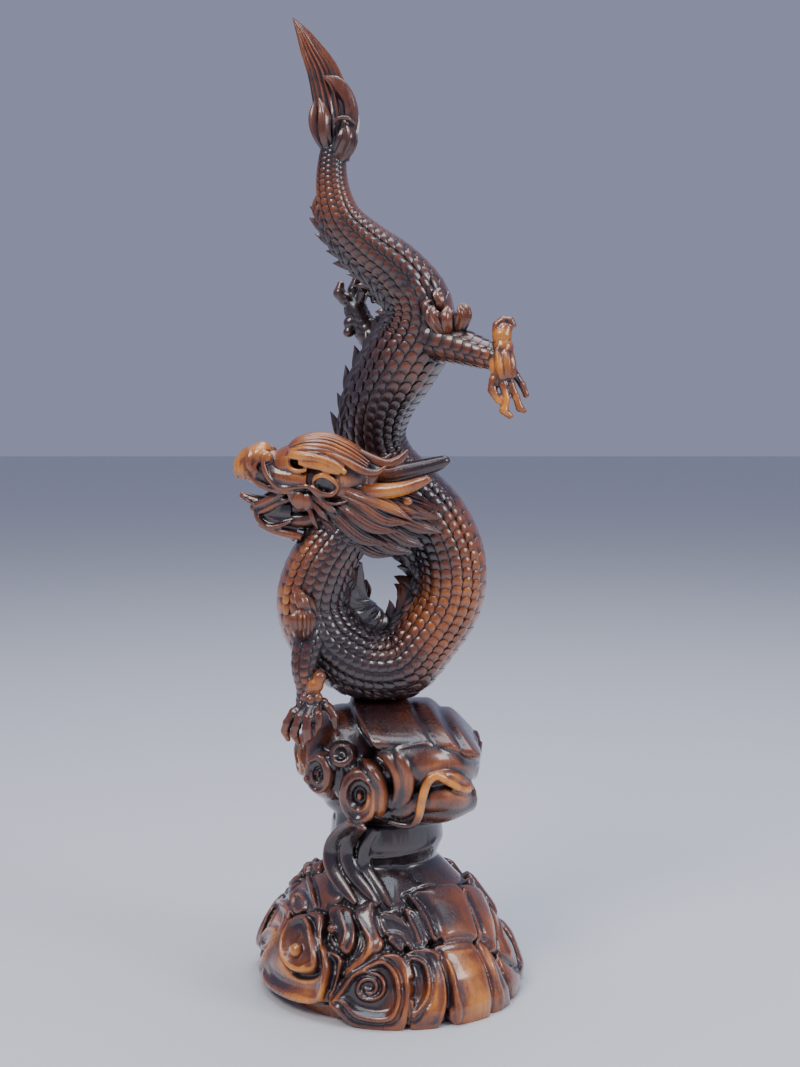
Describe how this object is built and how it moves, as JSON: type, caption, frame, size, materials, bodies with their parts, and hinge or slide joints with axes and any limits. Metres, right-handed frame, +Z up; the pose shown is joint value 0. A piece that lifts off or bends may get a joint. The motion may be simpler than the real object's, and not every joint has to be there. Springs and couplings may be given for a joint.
{
  "type": "dragon sculpture",
  "caption": "Carved wooden dragon that coils upwards to its tail tip, standing on a two-tier cloud plinth with a flat underside; decorative figure for a shelf or table.",
  "frame": {"origin": "middle of the plinth's flat underside, where the carving stands", "axes": "+Z up, along the carving's height; +X to the viewer's right and -Y towards the viewer, as the side with the head is looked at"},
  "size_m": [0.1198, 0.1196, 0.4004],
  "materials": {
    "boxwood": "polished antique boxwood, purplish brown in the hollows and rubbed amber on the edges"
  },
  "bodies": {
    "root": {"dragon": "boxwood", "cloud_plinth": "boxwood"}
  },
  "joints": []
}
